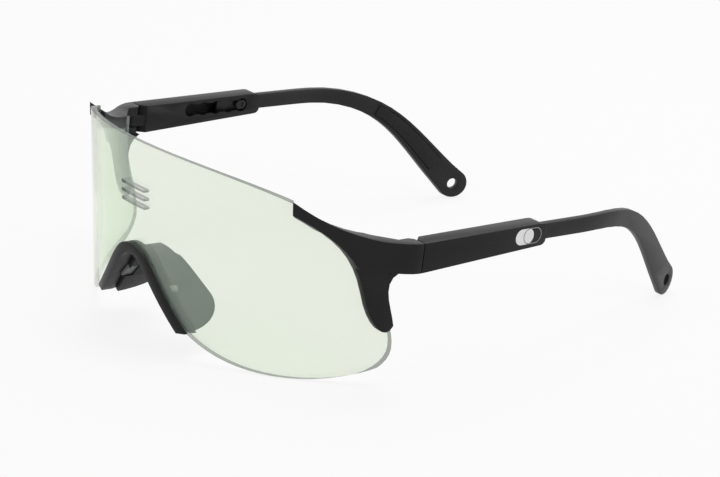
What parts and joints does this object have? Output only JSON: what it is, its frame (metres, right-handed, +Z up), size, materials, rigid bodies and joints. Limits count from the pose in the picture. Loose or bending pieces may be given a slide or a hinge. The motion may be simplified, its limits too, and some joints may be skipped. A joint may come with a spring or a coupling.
{
  "type": "cycling sunglasses",
  "caption": "Wrap shield sunglasses with a clear tinted lens, clip-in nose bridge, folding temples and rear arms that slide in hollow sleeves.",
  "frame": {"origin": "middle of the footprint, on the surface that the glasses rest on", "axes": "+X to the wearer's left, +Y from the lens back to the arm tips, +Z up; the temples slope down 2.3 degrees to the rear, as the glasses stand on the lens's lower edge and the two tips"},
  "size_m": [0.132, 0.167, 0.0566],
  "materials": {
    "lens": "gloss",
    "black_plastic": "satin",
    "arm_plastic": "satin",
    "soft_rubber": "matte",
    "steel": "satin"
  },
  "bodies": {
    "front": {"lens": "lens", "left_endpiece": "black_plastic", "right_endpiece": "black_plastic", "left_hinge_screw": "steel", "right_hinge_screw": "steel", "nose_bridge": "black_plastic", "left_nose_pad": "soft_rubber", "right_nose_pad": "soft_rubber", "left_pad_peg": "soft_rubber", "right_pad_peg": "soft_rubber"},
    "left_sleeve": {"left_temple_sleeve": "black_plastic"},
    "right_sleeve": {"right_temple_sleeve": "black_plastic"},
    "left_arm": {"left_temple_arm": "arm_plastic", "left_stop_button": "black_plastic", "left_ear_grip": "soft_rubber"},
    "right_arm": {"right_temple_arm": "arm_plastic", "right_stop_button": "black_plastic", "right_ear_grip": "soft_rubber"}
  },
  "joints": [
    {"name": "left_hinge", "type": "hinge", "parent": "front", "child": "left_sleeve", "pos_m": [0.0629, -0.03871, 0.03695], "axis": [0, 0.0401, 0.9992], "range_deg": [0, 77]},
    {"name": "left_slide", "type": "slide", "parent": "left_sleeve", "child": "left_arm", "axis": [0, 0.9992, -0.0401], "range_m": [-0.01431, 0]},
    {"name": "right_hinge", "type": "hinge", "parent": "front", "child": "right_sleeve", "pos_m": [-0.0629, -0.03871, 0.03695], "axis": [0, -0.0401, -0.9992], "range_deg": [0, 57]},
    {"name": "right_slide", "type": "slide", "parent": "right_sleeve", "child": "right_arm", "axis": [0, 0.9992, -0.0401], "range_m": [-0.01431, 0]}
  ]
}
